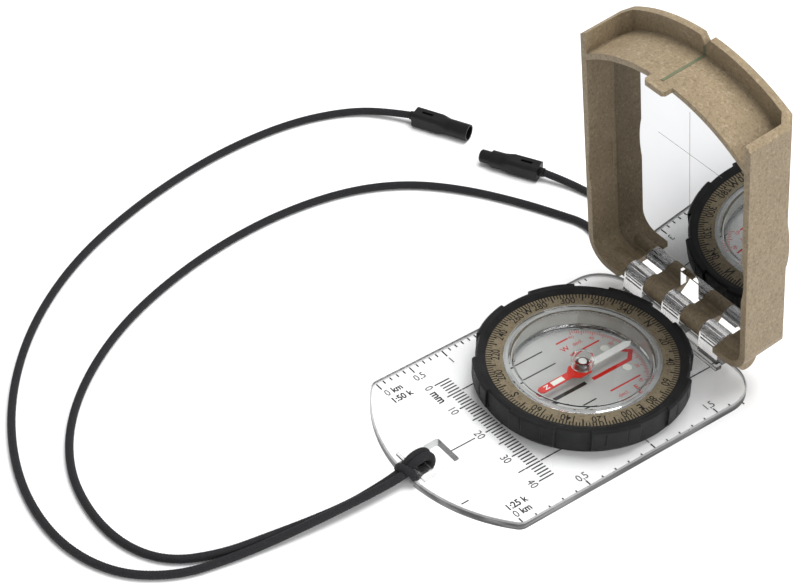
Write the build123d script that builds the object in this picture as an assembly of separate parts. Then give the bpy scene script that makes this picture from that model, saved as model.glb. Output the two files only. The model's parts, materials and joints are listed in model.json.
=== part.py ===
from build123d import *
import math
import os

# Baseplate compass with a hinged sighting lid, in millimetres.
# The origin is on the resting plane, straight below the needle's pivot.
# +X points to the right edge of the plate, +Y to the hinge, +Z up.

# ---- plate ----
PLATE_HALF_WIDTH = 29.15
PLATE_THICKNESS = 2.5
PLATE_FRONT_Y = -53.7
PLATE_FRONT_RADIUS = 42.0
PLATE_REAR_Y = 33.2
PLATE_REAR_CORNER = 10.0
PLATE_FRONT_CORNER = 3.0
PLATE_EDGE = 0.35
DIAL_HOLE_RADIUS = 20.0
SLOT_REAR_Y = -40.7
SLOT_STEP_Y = -45.3
SLOT_FRONT_Y = -48.2
SLOT_HALF_WIDTH = 4.3
SLOT_NECK_HALF_WIDTH = 3.3
SLOT_CORNER = 0.6
BRIDGE_FRONT_Y = -52.0
BRIDGE_HALF_LENGTH = 5.6
BRIDGE_TOP = 3.6
BRIDGE_EDGE = 0.5
BRIDGE_RELIEF_HEIGHT = 1.5

# ---- hinge ----
HINGE_Y = 31.1
HINGE_Z = 9.3
BARREL_RADIUS = 2.85
PIN_RADIUS = 0.8
PIN_HALF_LENGTH = 24.0
PIN_CLEARANCE = 0.05
KNUCKLE_STATIONS = [3.3, 10.4, 17.3]
KNUCKLE_SIDE_GAP = 0.1
BLOCK_REAR_OFFSET = 1.8
LEDGE_HALF_LENGTH = 18.0
LEDGE_FRONT_Y = 27.6
LEDGE_REAR_Y = 29.4
LEDGE_TOP = 3.8
FLUTE_RADIUS = 0.3
FLUTE_STEP = 24.0
FLUTE_FIRST = -18.0
FLUTE_LAST = 198.0
FLUTE_END_MARGIN = 0.5

# ---- lid, in its own frame: X across, Y away from the hinge, Z towards the plate ----
LID_OPENING = 83.5
LID_HALF_WIDTH = 28.5
LID_WALL = 1.8
LID_FREE_EDGE = 4.8
LID_OUTER_FACE = -9.8
LID_PANEL = 1.9
LID_HINGE_END = 0.4
LID_HINGE_CORNER = 7.0
LID_ARCH_RADIUS = 52.0
LID_ARCH_APEX = 80.3
LID_RIM_HEIGHT = 5.2
LID_SHELF = 1.5
LID_LONG_CHAMFER = 2.3
TRAY_CORNER = 2.0
LID_END_CHAMFER_DEPTH = 3.6
LID_END_CHAMFER_REACH = 7.2
LID_BULGE_RADIUS = 28.45
LID_BULGE_CENTRE = 34.5
LID_DIAL_RELIEF_RADIUS = 27.4
LID_OPEN_END = 4.4
TAB_HALF_WIDTH = 3.4
TAB_REACH = 2.8
TAB_CHAMFER = 0.7
NOTCH_HALF_WIDTH = 1.9
NOTCH_DEPTH = 2.0
SIGHT_SLOT_HALF_WIDTH = 1.3
SIGHT_SLOT_TOP = 9.5
MIRROR_FACE = -3.45
MIRROR_THICKNESS = 1.8
MIRROR_BOTTOM = 2.4
MIRROR_GAP = 0.1
MIRROR_NOTCH_HALF_WIDTH = 3.2
MIRROR_NOTCH_TOP = 9.4
TAPE_THICKNESS = 0.15
SEAT_WIDTH = 2.4

# ---- dial ----
CAPSULE_RADIUS = 19.93
CAPSULE_NECK_RADIUS = 19.0
CAPSULE_BORE = 17.6
CAPSULE_FLOOR = 1.8
CAPSULE_WALL_TOP = 7.4
SEAL_THICKNESS = 0.3
COVER_STEP_RADIUS = 19.2
COVER_TOP_RADIUS = 17.9
COVER_STEP_TOP = 9.3
COVER_TOP = 9.8
COVER_INNER = 8.6
COVER_BOSS_RADIUS = 2.9
COVER_BOSS_BORE = 2.3
COVER_BOSS_BOTTOM = 6.2
GRADUATION_INNER = 19.3
GRADUATION_OUTER = 23.5
GRADUATION_TOP = 8.8
COLLAR_RADIUS = 20.65
GRIP_BASE = 2.9
GRIP_RADIUS = 26.0
GRIP_TOP = 9.8
GRIP_CREST_RADIUS = 25.1
LOBE_RADIUS = 26.8
LOBE_COUNT = 8
LOBE_WIDTH = 26.0
LOBE_FIRST = 22.5
SNAP_INNER = 19.6
SNAP_OUTER = 20.6
SNAP_Z = 1.1
SNAP_THICKNESS = 0.4
DISC_RADIUS = 16.9
DISC_THICKNESS = 0.2
DOT_RADIUS = 1.15
DOT_X = 4.2
DOT_Y = 11.1

# ---- needle ----
NEEDLE_Z = 4.9
NEEDLE_THICKNESS = 0.3
NEEDLE_RED_HALF_WIDTH = 1.07
NEEDLE_WHITE_HALF_WIDTH = 0.95
NEEDLE_RED_LENGTH = 13.6
NEEDLE_WHITE_LENGTH = 16.0
NEEDLE_TURN = 0.95
HUB_RADIUS = 1.7
HUB_COLLAR_RADIUS = 2.1
HUB_BOTTOM = 4.3
HUB_TOP = 7.2
HUB_CAP_RADIUS = 1.05
JEWEL_RADIUS = 0.9
PIVOT_RADIUS = 0.45
PIVOT_TIP = 5.7
PIVOT_GAP = 0.02
JEWEL_BOTTOM = 5.0
JEWEL_TOP = 6.2

# ---- lanyard ----
CORD_DIAMETER = 2.1
CORD_REST_Z = CORD_DIAMETER / 2
HITCH_HALF_WIDTH = 2.15
HITCH_FRONT_Y = -56.6
HITCH_OUTER_X = 1.1
HITCH_OUTER_Z = 2.75
HITCH_INNER_X = -0.8
HITCH_INNER_Z = 1.7
HITCH_BAND_HALF_WIDTH = 3.1
HITCH_BAND_FRONT_Y = -55.6
HITCH_BAND_REAR_Y = -53.2
HITCH_BAND_TOP = 4.6
HITCH_BAND_CORNER = 1.1
CONNECTOR_Z = 2.4
CONNECTOR_WIDTH = 4.9
CONNECTOR_HEIGHT = 4.4
CONNECTOR_ROUND_RADIUS = 2.35
CONNECTOR_FLAT_LENGTH = 8.0
CONNECTOR_TAPER_END = 10.5
CONNECTOR_CORNER = 1.0
CONNECTOR_WINDOW = (2.2, 5.6)
CONNECTOR_WINDOW_WIDTH = 0.9
CONNECTOR_WINDOW_DEPTH = 0.8
SOCKET_ENTRY = (-109.0, 31.3)
SOCKET_MOUTH = (-94.0, 38.7)
SOCKET_BORE = 1.95
SOCKET_DEPTH = 8.0
PLUG_ENTRY = (-68.9, 43.4)
PLUG_NOSE = (-84.2, 35.0)
PLUG_STUB_LENGTH = 3.4
PLUG_STUB_RADIUS = 1.8
FERRULE_RADIUS = 1.25
FERRULE_LENGTH = 1.35

OUTER_ROUTE = [
    (-110.21, 30.7, CONNECTOR_Z),
    (-118.2, 25.6, 1.5),
    (-124.5, 17.0, CORD_REST_Z),
    (-128.6, 3.6, CORD_REST_Z),
    (-129.5, -13.0, CORD_REST_Z),
    (-127.7, -31.0, CORD_REST_Z),
    (-122.5, -52.5, CORD_REST_Z),
    (-113.6, -74.8, CORD_REST_Z),
    (-100.3, -94.4, CORD_REST_Z),
    (-84.3, -109.7, CORD_REST_Z),
    (-66.5, -121.0, CORD_REST_Z),
    (-47.5, -127.8, CORD_REST_Z),
    (-29.0, -128.9, CORD_REST_Z),
    (-14.1, -123.4, CORD_REST_Z),
    (-5.4, -112.4, CORD_REST_Z),
    (-2.7, -100.5, 1.1),
    (-0.95, -89.5, 1.6),
    (0.3, -79.0, 2.35),
    (1.0, -69.0, 2.72),
    (1.15, -61.5, 2.68),
    (HITCH_OUTER_X, HITCH_FRONT_Y, HITCH_OUTER_Z),
]

INNER_ROUTE = [
    (-67.72, 44.05, CONNECTOR_Z),
    (-61.9, 47.3, 1.5),
    (-54.3, 49.5, CORD_REST_Z),
    (-46.2, 52.2, CORD_REST_Z),
    (-38.2, 55.6, CORD_REST_Z),
    (-30.9, 51.6, CORD_REST_Z),
    (-30.6, 43.2, CORD_REST_Z),
    (-37.8, 38.4, CORD_REST_Z),
    (-45.4, 40.5, CORD_REST_Z),
    (-53.3, 36.8, CORD_REST_Z),
    (-63.0, 31.9, CORD_REST_Z),
    (-75.4, 24.1, CORD_REST_Z),
    (-86.3, 14.0, CORD_REST_Z),
    (-93.3, 1.5, CORD_REST_Z),
    (-96.7, -13.5, CORD_REST_Z),
    (-97.2, -31.0, CORD_REST_Z),
    (-94.1, -52.0, CORD_REST_Z),
    (-86.9, -74.0, CORD_REST_Z),
    (-76.8, -91.5, CORD_REST_Z),
    (-63.9, -105.8, CORD_REST_Z),
    (-49.3, -115.0, CORD_REST_Z),
    (-34.0, -118.5, CORD_REST_Z),
    (-20.2, -117.5, CORD_REST_Z),
    (-10.2, -111.8, CORD_REST_Z),
    (-5.1, -101.0, CORD_REST_Z),
    (-3.2, -90.0, CORD_REST_Z),
    (-1.45, -79.0, CORD_REST_Z),
    (-0.45, -69.0, CORD_REST_Z),
    (-0.6, -61.5, 1.33),
    (HITCH_INNER_X, HITCH_FRONT_Y, HITCH_INNER_Z),
]


def disc(radius, low, high, x=0.0, y=0.0):
    """An upright cylinder between two heights."""
    solid = Cylinder(radius, high - low, align=(Align.CENTER, Align.CENTER, Align.MIN))
    return Pos(x, y, low) * solid


def block(x0, x1, y0, y1, z0, z1):
    """A box between two corners."""
    size = Box(x1 - x0, y1 - y0, z1 - z0)
    return Pos((x0 + x1) / 2, (y0 + y1) / 2, (z0 + z1) / 2) * size


def turned(points, arc=360.0):
    """Revolve a closed outline of (radius, height) points about the dial's axis."""
    outline = Plane.XZ * make_face(Polyline(*points, close=True))
    return revolve(outline, Axis.Z, revolution_arc=arc)


def side_slice(points, x0, x1):
    """Extrude a closed outline of (y, z) points from x0 to x1."""
    outline = Plane.YZ * make_face(Polyline(*points, close=True))
    return Pos(x0, 0, 0) * extrude(outline, x1 - x0)


def cross_bar(radius, x0, x1, y=0.0, z=0.0):
    """A cylinder along X between two stations."""
    bar = Rot(0, 90, 0) * Cylinder(radius, x1 - x0, align=(Align.CENTER, Align.CENTER, Align.MIN))
    return Pos(x0, y, z) * bar


# ------------------------------------------------------------------ plate

def plate_outline():
    """Plan of the plate: straight sides, round rear corners, arched front edge."""
    side_y = PLATE_FRONT_Y + PLATE_FRONT_RADIUS
    side_y -= math.sqrt(PLATE_FRONT_RADIUS ** 2 - PLATE_HALF_WIDTH ** 2)
    w = PLATE_HALF_WIDTH
    front = ThreePointArc((-w, side_y), (0, PLATE_FRONT_Y), (w, side_y))
    sides = Polyline((w, side_y), (w, PLATE_REAR_Y), (-w, PLATE_REAR_Y), (-w, side_y))
    face = make_face([front.edge(), *sides.edges()])
    rear = face.vertices().sort_by(Axis.Y)[-2:]
    face = fillet(rear, PLATE_REAR_CORNER)
    nose = [v for v in face.vertices() if abs(v.Y - side_y) < 0.01]
    return fillet(nose, PLATE_FRONT_CORNER)


def clear_knuckle(x0, x1):
    """A fluted clear barrel on its block, bored for the pin."""
    front = HINGE_Y - BARREL_RADIUS
    rear = HINGE_Y + BLOCK_REAR_OFFSET
    knuckle = block(x0, x1, front, rear, PLATE_THICKNESS, HINGE_Z)
    knuckle += cross_bar(BARREL_RADIUS, x0, x1, HINGE_Y, HINGE_Z)
    flutes = int((FLUTE_LAST - FLUTE_FIRST) / FLUTE_STEP) + 1
    for i in range(flutes):
        angle = math.radians(FLUTE_FIRST + i * FLUTE_STEP)
        y = HINGE_Y + (BARREL_RADIUS + 0.08) * math.cos(angle)
        z = HINGE_Z + (BARREL_RADIUS + 0.08) * math.sin(angle)
        knuckle -= cross_bar(FLUTE_RADIUS, x0 + FLUTE_END_MARGIN, x1 - FLUTE_END_MARGIN, y, z)
    return knuckle


def clear_stations():
    """The spans of the three clear knuckles along X."""
    inner, middle, outer = KNUCKLE_STATIONS
    gap = KNUCKLE_SIDE_GAP / 2
    return [
        (-outer + gap, -middle - gap),
        (-inner + gap, inner - gap),
        (middle + gap, outer - gap),
    ]


def lanyard_bridge():
    """The raised block at the front that the lanyard is hitched round."""
    half = BRIDGE_HALF_LENGTH
    bridge = block(-half, half, BRIDGE_FRONT_Y, SLOT_FRONT_Y, PLATE_THICKNESS - 0.5, BRIDGE_TOP)
    return chamfer(bridge.faces().sort_by(Axis.Z)[-1].edges(), BRIDGE_EDGE)


def lanyard_slot():
    """The stepped slot, the notch in the front edge and the relief under the bridge."""
    neck = SLOT_NECK_HALF_WIDTH
    slot = block(-SLOT_HALF_WIDTH, SLOT_HALF_WIDTH, SLOT_STEP_Y, SLOT_REAR_Y, -1, 4)
    slot = fillet(slot.edges().filter_by(Axis.Z), SLOT_CORNER)
    slot += block(-neck, neck, SLOT_FRONT_Y, SLOT_STEP_Y + 1, -1, 4)
    slot += block(-neck, neck, PLATE_FRONT_Y - 1, BRIDGE_FRONT_Y, -1, 4)
    return slot + block(-neck, neck, PLATE_FRONT_Y - 1, SLOT_FRONT_Y + 1, -1, BRIDGE_RELIEF_HEIGHT)


def base_plate():
    plate = extrude(plate_outline(), PLATE_THICKNESS)
    low_rim = plate.edges().filter_by_position(Axis.Z, -0.01, 0.01)
    high_rim = plate.edges().filter_by_position(Axis.Z, PLATE_THICKNESS - 0.01, PLATE_THICKNESS + 0.01)
    plate = chamfer(low_rim + high_rim, PLATE_EDGE)
    plate -= disc(DIAL_HOLE_RADIUS, -1, 4)
    plate -= disc(SNAP_OUTER, SNAP_Z, SNAP_Z + SNAP_THICKNESS)
    plate += lanyard_bridge()
    plate -= lanyard_slot()
    ledge = LEDGE_HALF_LENGTH
    plate += block(-ledge, ledge, LEDGE_FRONT_Y, LEDGE_REAR_Y, PLATE_THICKNESS, LEDGE_TOP)
    for x0, x1 in clear_stations():
        plate += clear_knuckle(x0, x1)
    plate -= cross_bar(PIN_RADIUS, -20, 20, HINGE_Y, HINGE_Z)
    return plate


def dial_snap_ring():
    """A flat spring ring, open at the rear so that it can be squeezed."""
    top = SNAP_Z + SNAP_THICKNESS
    ring = disc(SNAP_OUTER, SNAP_Z, top) - disc(SNAP_INNER, 0, 3)
    return ring - block(-3.5, 3.5, 15, 25, 0, 3)


def hinge_pin():
    pin = cross_bar(PIN_RADIUS, -PIN_HALF_LENGTH, PIN_HALF_LENGTH, HINGE_Y, HINGE_Z)
    return chamfer(pin.edges().filter_by(GeomType.CIRCLE), 0.2)


# ------------------------------------------------------------------ lid

def lid_place():
    """From the lid's own frame to where it stands at rest."""
    return Location((0, HINGE_Y, HINGE_Z), (180 - LID_OPENING, 0, 0))


def arch_plan(half_width, bottom, corner, radius):
    """Plan of a lid region: square at the hinge, arched at the far end."""
    centre = LID_ARCH_APEX - LID_ARCH_RADIUS
    side = centre + math.sqrt(radius ** 2 - half_width ** 2)
    arch = ThreePointArc((-half_width, side), (0, centre + radius), (half_width, side))
    rest = Polyline((half_width, side), (half_width, bottom), (-half_width, bottom), (-half_width, side))
    face = make_face([arch.edge(), *rest.edges()])
    if corner > 0:
        face = fillet(face.vertices().sort_by(Axis.Y)[:2], corner)
    return face


def prism(face, z0, z1):
    return Pos(0, 0, z0) * extrude(face, z1 - z0)


def long_chamfer(side):
    """The wedge that comes off one long edge of the lid's back."""
    x = side * LID_HALF_WIDTH
    inner_x = x - side * LID_LONG_CHAMFER
    low = LID_OUTER_FACE
    corners = [(inner_x, low), (inner_x, low - 1), (x + side, low - 1), (x, low + LID_LONG_CHAMFER)]
    wedge = Plane.XZ * make_face(Polyline(*corners, close=True))
    return Pos(0, 90, 0) * extrude(wedge, 100)


def lid_blank():
    """The lid's outer form, chamfered on its back, with the round swell over the dial."""
    plan = arch_plan(LID_HALF_WIDTH, LID_HINGE_END, LID_HINGE_CORNER, LID_ARCH_RADIUS)
    blank = prism(plan, LID_OUTER_FACE, LID_FREE_EDGE)
    for side in (-1, 1):
        blank -= long_chamfer(side)
    swell = disc(LID_BULGE_RADIUS, LID_OUTER_FACE + 0.5, LID_OUTER_FACE + 4.0, 0, LID_BULGE_CENTRE)
    rim = swell.edges().filter_by_position(Axis.Z, LID_OUTER_FACE + 0.4, LID_OUTER_FACE + 0.6)
    blank += chamfer(rim, 0.9)
    depth = LID_OUTER_FACE + LID_END_CHAMFER_DEPTH
    heel = [
        (LID_HINGE_END, depth),
        (LID_END_CHAMFER_REACH, LID_OUTER_FACE),
        (LID_END_CHAMFER_REACH, LID_OUTER_FACE - 1),
        (LID_HINGE_END - 1, LID_OUTER_FACE - 1),
        (LID_HINGE_END - 1, depth),
    ]
    return blank - side_slice(heel, -40, 40)


def lid_knuckle(x0, x1):
    """A tan barrel and the web that joins it to the panel behind the mirror."""
    knuckle = cross_bar(BARREL_RADIUS, x0, x1)
    web = [
        (-1.2, -2.55), (2.0, -2.0), (1.9, -5.4), (5.0, -5.6),
        (7.6, -8.2), (7.6, -9.0), (5.2, -8.6), (1.7, -6.0),
    ]
    return knuckle + side_slice(web, x0, x1)


def tray_corner(side):
    """The wedge left standing in the tray's corner between the back panel and a side wall."""
    x = side * (LID_HALF_WIDTH - LID_WALL)
    z = LID_OUTER_FACE + LID_PANEL
    reach = TRAY_CORNER + 1
    corners = [(x + side, z - 1), (x - side * reach, z - 1), (x + side, z + reach)]
    wedge = Plane.XZ * make_face(Polyline(*corners, close=True))
    return Pos(0, 90, 0) * extrude(wedge, 100)


def lid_shell():
    shell = lid_blank()
    inner_x = LID_HALF_WIDTH - LID_WALL
    panel_z = LID_OUTER_FACE + LID_PANEL
    centre = LID_ARCH_APEX - LID_ARCH_RADIUS
    shelf_top = LID_ARCH_RADIUS - LID_RIM_HEIGHT
    shelf_under = shelf_top - LID_SHELF
    wall_start = LID_HINGE_END + LID_WALL
    # hollow of the case, down to the seats that carry the mirror
    room = arch_plan(inner_x, wall_start, LID_HINGE_CORNER - LID_WALL, shelf_under)
    seat_z = MIRROR_FACE - MIRROR_THICKNESS - TAPE_THICKNESS
    shell -= prism(room, seat_z, LID_FREE_EDGE + 1)
    deep = arch_plan(inner_x - SEAT_WIDTH, wall_start + SEAT_WIDTH, 3.0, shelf_under - SEAT_WIDTH)
    shell -= prism(deep, panel_z, LID_FREE_EDGE)
    # open tray above the end shelf, behind which the rim stands up
    above = block(-inner_x, inner_x, 50, 90, panel_z, LID_FREE_EDGE + 1)
    above -= disc(shelf_top, panel_z - 1, LID_FREE_EDGE + 2, 0, centre)
    for side in (-1, 1):
        above -= tray_corner(side)
    shell -= above
    # room for the dial when the lid is shut
    shell -= disc(LID_DIAL_RELIEF_RADIUS, MIRROR_FACE + 1.0, LID_FREE_EDGE + 1, 0, HINGE_Y)
    # open hinge end between the outer knuckles
    opening = KNUCKLE_STATIONS[2] + KNUCKLE_SIDE_GAP / 2
    shell -= block(-opening, opening, -2, LID_OPEN_END, LID_OUTER_FACE - 1, LID_FREE_EDGE + 1)
    shell = add_lid_knuckles(shell)
    # sighting tab, notch and slot
    y0 = centre + shelf_under + 0.1
    y1 = centre + shelf_top - 0.05
    tab = block(-TAB_HALF_WIDTH, TAB_HALF_WIDTH, y0, y1, LID_FREE_EDGE - 1, LID_FREE_EDGE + TAB_REACH)
    shell += chamfer(tab.edges().filter_by(Axis.Y).sort_by(Axis.Z)[-2:], TAB_CHAMFER)
    shell -= sighting_notch()
    shell -= sighting_slot()
    return lid_place() * shell


def add_lid_knuckles(shell):
    inner, middle, outer = KNUCKLE_STATIONS
    gap = KNUCKLE_SIDE_GAP / 2
    for side in (-1, 1):
        x0, x1 = sorted([side * (inner + gap), side * (middle - gap)])
        shell += lid_knuckle(x0, x1)
        x0, x1 = sorted([side * (outer + gap), side * 24.6])
        shell += cross_bar(BARREL_RADIUS, x0, x1)
    return shell - cross_bar(PIN_RADIUS + PIN_CLEARANCE, -24.2, 24.2)


def sighting_notch():
    top = LID_ARCH_APEX + 0.5
    w = NOTCH_HALF_WIDTH
    points = [(-w, top), (0, LID_ARCH_APEX - NOTCH_DEPTH), (w, top)]
    return prism(make_face(Polyline(*points, close=True)), LID_OUTER_FACE - 1, LID_OUTER_FACE + 5)


def sighting_slot():
    w = SIGHT_SLOT_HALF_WIDTH
    slot = block(-w, w, 0, SIGHT_SLOT_TOP - w, LID_OUTER_FACE - 1, -5.6)
    return slot + disc(w, LID_OUTER_FACE - 1, -5.6, 0, SIGHT_SLOT_TOP - w)


def mirror():
    width = LID_HALF_WIDTH - LID_WALL - MIRROR_GAP
    radius = LID_ARCH_RADIUS - LID_RIM_HEIGHT - LID_SHELF - MIRROR_GAP
    plan = arch_plan(width, MIRROR_BOTTOM, LID_HINGE_CORNER - LID_WALL, radius)
    plate = prism(plan, MIRROR_FACE - MIRROR_THICKNESS, MIRROR_FACE)
    w = MIRROR_NOTCH_HALF_WIDTH
    notch = block(-w, w, 0, MIRROR_NOTCH_TOP, -6, 0)
    notch = fillet(notch.edges().filter_by(Axis.Z).sort_by(Axis.Y)[-2:], 1.2)
    plate -= notch
    for side in (-1, 1):
        x0, x1 = sorted([side * 16.5, side * 20.0])
        plate -= block(x0, x1, 0, MIRROR_BOTTOM + 1.3, -6, 0)
    return lid_place() * plate


def mirror_tape():
    """Two adhesive strips between the mirror's back and its seats."""
    z1 = MIRROR_FACE - MIRROR_THICKNESS
    inner = LID_HALF_WIDTH - LID_WALL - SEAT_WIDTH
    strips = []
    for side in (-1, 1):
        x0, x1 = sorted([side * (inner + 0.2), side * (inner + SEAT_WIDTH - 0.3)])
        strips.append(lid_place() * block(x0, x1, 9, 62, z1 - TAPE_THICKNESS, z1))
    return Compound(strips)


def sight_line():
    """A thin filled line from the notch down the rim and across the shelf to the tab."""
    centre = LID_ARCH_APEX - LID_ARCH_RADIUS
    shelf = centre + LID_ARCH_RADIUS - LID_RIM_HEIGHT
    panel_z = LID_OUTER_FACE + LID_PANEL
    line = block(-0.4, 0.4, shelf, shelf + 0.08, panel_z, LID_FREE_EDGE)
    line += block(-0.4, 0.4, shelf, LID_ARCH_APEX - NOTCH_DEPTH - 0.5, panel_z, panel_z + 0.08)
    return lid_place() * line


# ------------------------------------------------------------------ dial

def bezel_grip():
    ring = turned([
        (COLLAR_RADIUS, GRIP_BASE), (GRIP_RADIUS - 0.2, GRIP_BASE), (GRIP_RADIUS, GRIP_BASE + 0.2),
        (GRIP_RADIUS, GRIP_TOP - 0.6), (GRIP_RADIUS - 0.5, GRIP_TOP), (GRIP_CREST_RADIUS - 0.2, GRIP_TOP),
        (GRADUATION_OUTER, GRADUATION_TOP + 0.2), (GRADUATION_OUTER, 4.4), (COLLAR_RADIUS, 4.4),
    ])
    lobe = turned([
        (GRIP_RADIUS - 0.6, 3.4), (GRIP_RADIUS, 3.4), (LOBE_RADIUS, 4.3),
        (LOBE_RADIUS, GRIP_TOP - 0.5), (LOBE_RADIUS - 0.5, GRIP_TOP), (GRIP_RADIUS - 0.6, GRIP_TOP),
    ], LOBE_WIDTH)
    for i in range(LOBE_COUNT):
        start = 90 - LOBE_FIRST - LOBE_WIDTH / 2 + i * 360 / LOBE_COUNT
        ring += Rot(0, 0, start) * lobe
    for i in range(LOBE_COUNT):
        for offset in (-6.0, 6.0):
            angle = math.radians(90 - LOBE_FIRST + offset + i * 360 / LOBE_COUNT)
            x = (LOBE_RADIUS + 0.1) * math.cos(angle)
            y = (LOBE_RADIUS + 0.1) * math.sin(angle)
            ring -= disc(0.3, 5.5, GRIP_TOP + 1, x, y)
    return ring


def graduation_ring():
    """The flat ring that carries the degree scale."""
    top = GRADUATION_TOP
    return disc(GRADUATION_OUTER, CAPSULE_WALL_TOP, top) - disc(GRADUATION_INNER, 0, top + 1)


def dial_collar():
    """The pale sleeve between the capsule and the grip, under the degree scale."""
    return disc(COLLAR_RADIUS, GRIP_BASE, CAPSULE_WALL_TOP) - disc(CAPSULE_NECK_RADIUS, 0, 20)


def capsule_base():
    cup = turned([
        (0, 0), (CAPSULE_RADIUS, 0), (CAPSULE_RADIUS, 0.8), (SNAP_INNER - 0.3, 0.8),
        (SNAP_INNER - 0.3, 1.8), (CAPSULE_RADIUS, 1.8), (CAPSULE_RADIUS, 2.8),
        (CAPSULE_NECK_RADIUS, 2.8), (CAPSULE_NECK_RADIUS, CAPSULE_WALL_TOP),
        (CAPSULE_BORE, CAPSULE_WALL_TOP), (CAPSULE_BORE, CAPSULE_FLOOR), (0, CAPSULE_FLOOR),
    ])
    return cup - disc(PIVOT_RADIUS, 0.9, 3)


def capsule_seal():
    low = CAPSULE_WALL_TOP
    return disc(CAPSULE_NECK_RADIUS - 0.1, low, low + SEAL_THICKNESS) - disc(CAPSULE_BORE + 0.2, 0, 20)


def capsule_cover():
    """The clear lid of the capsule with its stepped rim and the tube round the hub."""
    low = CAPSULE_WALL_TOP + SEAL_THICKNESS
    cover = turned([
        (CAPSULE_BORE, low), (COVER_STEP_RADIUS, low), (COVER_STEP_RADIUS, COVER_STEP_TOP - 0.3),
        (COVER_STEP_RADIUS - 0.3, COVER_STEP_TOP), (COVER_TOP_RADIUS + 0.2, COVER_STEP_TOP),
        (COVER_TOP_RADIUS - 0.3, COVER_TOP), (0, COVER_TOP), (0, COVER_INNER),
        (COVER_BOSS_BORE, COVER_INNER), (COVER_BOSS_BORE, COVER_BOSS_BOTTOM),
        (COVER_BOSS_RADIUS, COVER_BOSS_BOTTOM), (COVER_BOSS_RADIUS, COVER_INNER),
        (CAPSULE_BORE - 0.8, COVER_INNER), (CAPSULE_BORE, COVER_INNER - 0.6),
    ])
    return cover


def orienting_disc():
    top = CAPSULE_FLOOR + DISC_THICKNESS
    return disc(DISC_RADIUS, CAPSULE_FLOOR, top) - disc(PIVOT_RADIUS, 0, 5)


def luminous_dots():
    low = CAPSULE_FLOOR + DISC_THICKNESS
    return Compound([disc(DOT_RADIUS, low, low + 0.3, side * DOT_X, DOT_Y) for side in (-1, 1)])


def pivot_pin():
    return turned([(0, 0.9), (PIVOT_RADIUS, 0.9), (PIVOT_RADIUS, 4.6), (0.05, PIVOT_TIP), (0, PIVOT_TIP)])


# ------------------------------------------------------------------ needle

def needle_place():
    return Rot(0, 0, NEEDLE_TURN)


def needle_blade():
    red = NEEDLE_RED_HALF_WIDTH
    white = NEEDLE_WHITE_HALF_WIDTH
    tip = NEEDLE_RED_LENGTH
    tail = NEEDLE_WHITE_LENGTH
    outline = Polyline(
        (-red, -tip + 0.8), (-red + 0.5, -tip), (red - 0.5, -tip), (red, -tip + 0.8), (red, -4.0),
        (2.4, -2.4), (2.4, 1.0), (white, 2.4), (white, tail - 1.4), (0, tail), (-white, tail - 1.4),
        (-white, 2.4), (-2.4, 1.0), (-2.4, -2.4), (-red, -4.0), close=True)
    low = NEEDLE_Z - NEEDLE_THICKNESS / 2
    blade = prism(make_face(outline), low, low + NEEDLE_THICKNESS)
    return needle_place() * (blade - disc(HUB_RADIUS, 0, 9))


def needle_hub():
    low = NEEDLE_Z - NEEDLE_THICKNESS / 2
    collar = low - 0.05
    hub = turned([
        (JEWEL_RADIUS, HUB_BOTTOM), (HUB_RADIUS, HUB_BOTTOM), (HUB_RADIUS, HUB_TOP - 0.3),
        (HUB_RADIUS - 0.3, HUB_TOP), (0, HUB_TOP), (0, JEWEL_TOP), (JEWEL_RADIUS, JEWEL_TOP),
    ])
    return hub + (disc(HUB_COLLAR_RADIUS, collar - 0.4, low) - disc(HUB_RADIUS, 0, 9))


def jewel_bearing():
    seat = PIVOT_TIP + PIVOT_GAP
    low = JEWEL_BOTTOM
    return turned([
        (0.55, low), (JEWEL_RADIUS, low), (JEWEL_RADIUS, JEWEL_TOP), (0, JEWEL_TOP), (0, seat), (0.12, seat),
    ])


def hub_cap():
    r = HUB_CAP_RADIUS
    low = HUB_TOP
    return turned([(0, low), (r, low), (r, low + 0.15), (r - 0.2, low + 0.3), (0, low + 0.3)])


def needle_luminous_bar():
    top = NEEDLE_Z + NEEDLE_THICKNESS / 2
    return needle_place() * block(-0.7, 0.7, -9.6, -6.0, top, top + 0.1)


# ------------------------------------------------------------------ lanyard

def cord_radii(route):
    """The largest arc that each corner of a route allows."""
    radii = []
    for before, corner, after in zip(route, route[1:], route[2:]):
        a = Vector(*corner) - Vector(*before)
        b = Vector(*after) - Vector(*corner)
        turn = math.radians(a.get_angle(b))
        radii.append(0.45 * min(a.length, b.length) / math.tan(turn / 2))
    return radii


def cord_tube(name, route):
    radii = cord_radii(route)
    path = FilletPolyline(*route, radius=radii)
    start = Plane(origin=route[0], z_dir=Vector(*route[1]) - Vector(*route[0]))
    tube = sweep(start * Circle(CORD_DIAMETER / 2), path=path)
    section = math.pi * CORD_DIAMETER ** 2 / 4
    print(name, "length", round(path.length, 1), "smallest radii", [round(r, 1) for r in sorted(radii)[:5]])
    print(name, "volume", round(tube.volume, 1), "section x length", round(section * path.length, 1))
    return tube


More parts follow.
